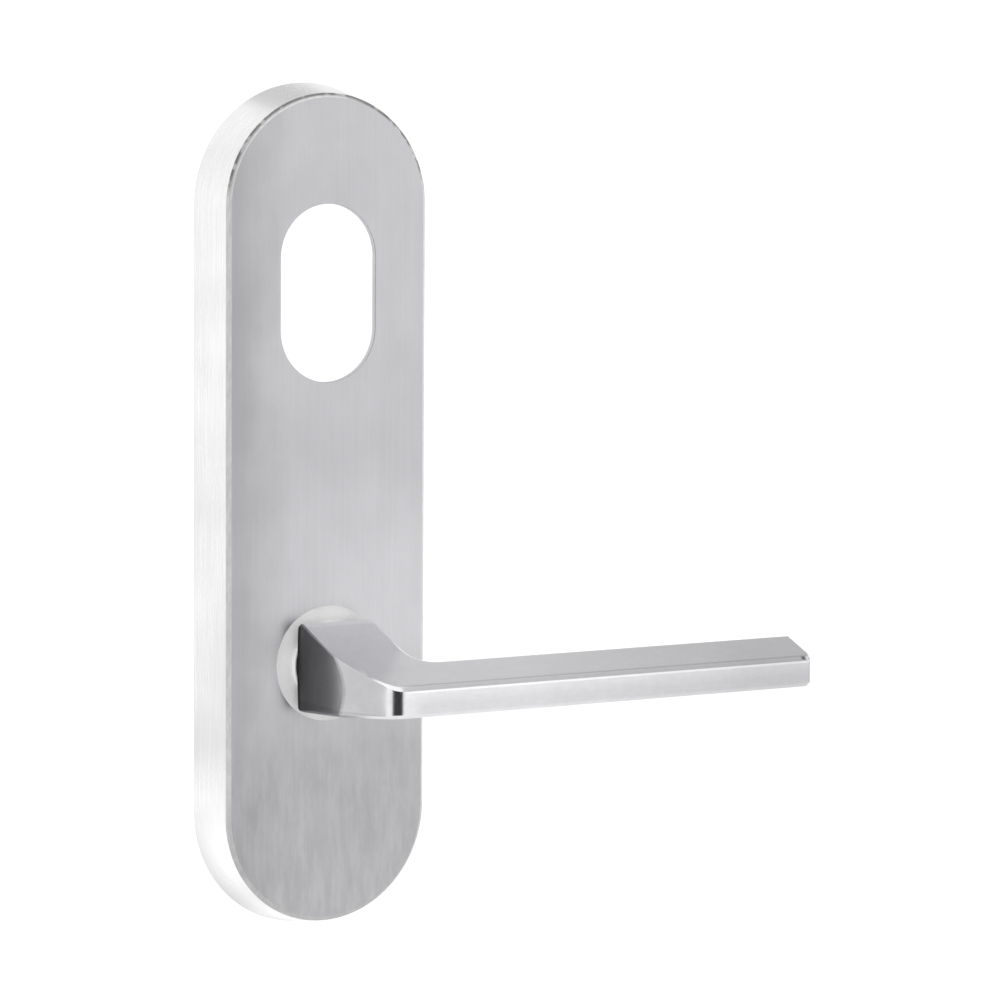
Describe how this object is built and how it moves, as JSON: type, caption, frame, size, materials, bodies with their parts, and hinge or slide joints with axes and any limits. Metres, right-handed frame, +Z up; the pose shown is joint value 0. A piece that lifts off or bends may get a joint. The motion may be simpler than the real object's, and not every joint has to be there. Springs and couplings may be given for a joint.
{
  "type": "door lever handle on oval-cylinder plate",
  "caption": "Round-ended hollow door plate with an oval see-through cylinder opening above a sprung lever handle with a square tapered neck and a straight grip.",
  "frame": {"origin": "where the spindle's axis crosses the face of the door, in the plane of the plate's rim", "axes": "+Y into the door, +X the way the lever's grip points at rest, +Z up towards the cylinder opening"},
  "size_m": [0.1608, 0.0972, 0.2268],
  "materials": {
    "satin_steel": "vertically brushed satin",
    "satin_cast_lever": "satin chrome",
    "bright_steel": "fine turned",
    "zinc_steel": "zinc plated",
    "screw_steel": "zinc plated",
    "spring_steel": "oiled spring steel",
    "cast_zinc": "as cast",
    "black_nylon": "moulded",
    "pale_nylon": "moulded"
  },
  "bodies": {
    "plate": {"cover_plate": "satin_steel", "chassis_plate": "zinc_steel", "chassis_screw_1": "screw_steel", "chassis_screw_2": "screw_steel", "chassis_screw_3": "screw_steel", "chassis_screw_4": "screw_steel", "fixing_post_upper": "bright_steel", "fixing_post_lower": "bright_steel", "bearing_ring": "pale_nylon", "neck_bush": "black_nylon", "cassette_housing": "cast_zinc", "cassette_lid": "zinc_steel", "cassette_screw_1": "screw_steel", "cassette_screw_2": "screw_steel", "cassette_screw_3": "screw_steel", "return_spring": "spring_steel"},
    "lever": {"lever_handle": "satin_cast_lever", "spindle": "zinc_steel", "set_screw": "spring_steel", "neck_pad": "black_nylon", "drive_hub": "cast_zinc", "thrust_washer": "bright_steel", "wave_washer": "spring_steel", "circlip": "spring_steel"}
  },
  "joints": [
    {"name": "lever_turn", "type": "hinge", "parent": "plate", "child": "lever", "pos_m": [0, 0, 0], "axis": [0, 1, 0], "range_deg": [0, 45], "stiffness_Nm_per_rad": 1.2, "springref_deg": -34.38, "deforming": ["return_spring"]}
  ]
}
